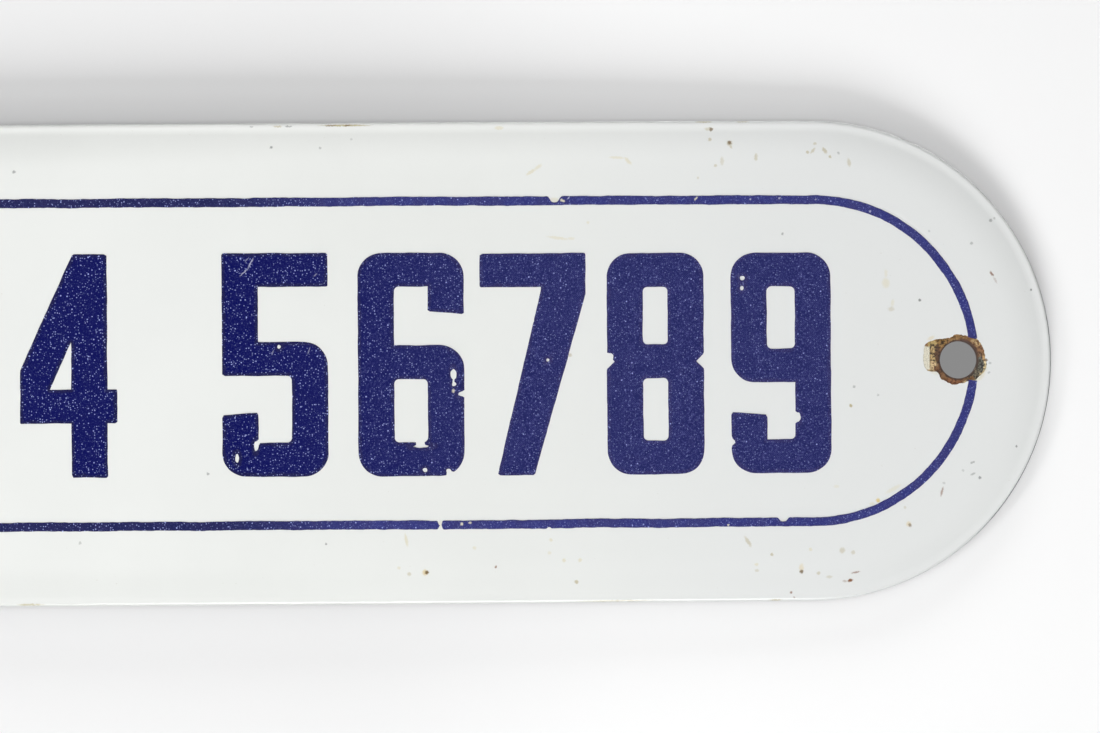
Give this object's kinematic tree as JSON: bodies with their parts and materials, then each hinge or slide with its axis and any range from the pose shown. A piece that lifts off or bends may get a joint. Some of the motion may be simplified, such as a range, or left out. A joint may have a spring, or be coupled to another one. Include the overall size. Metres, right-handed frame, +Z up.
{
  "type": "door plaque",
  "caption": "Long round-ended door plaque in white vitreous enamel on bowed sheet steel, with a turned-down rim, a raised blue border line and a screw hole near each end.",
  "frame": {"origin": "midway between the two screw holes, in the plane of the plate's back face at the holes' centres", "axes": "+X along the plaque's length, to the right as it is read; +Y into the door, against the printed face's outward direction; +Z up, across the plaque's height"},
  "size_m": [0.2896, 0.006, 0.08],
  "materials": {
    "white_enamel": "glossy fired vitreous enamel on steel, chipped to rusted steel round one screw hole",
    "blue_enamel": "glossy screened cobalt blue enamel fired onto the white, slightly raised, with a fine cloth texture"
  },
  "bodies": {
    "root": {"enamelled_plate": "white_enamel", "printed_border": "blue_enamel"}
  },
  "joints": []
}
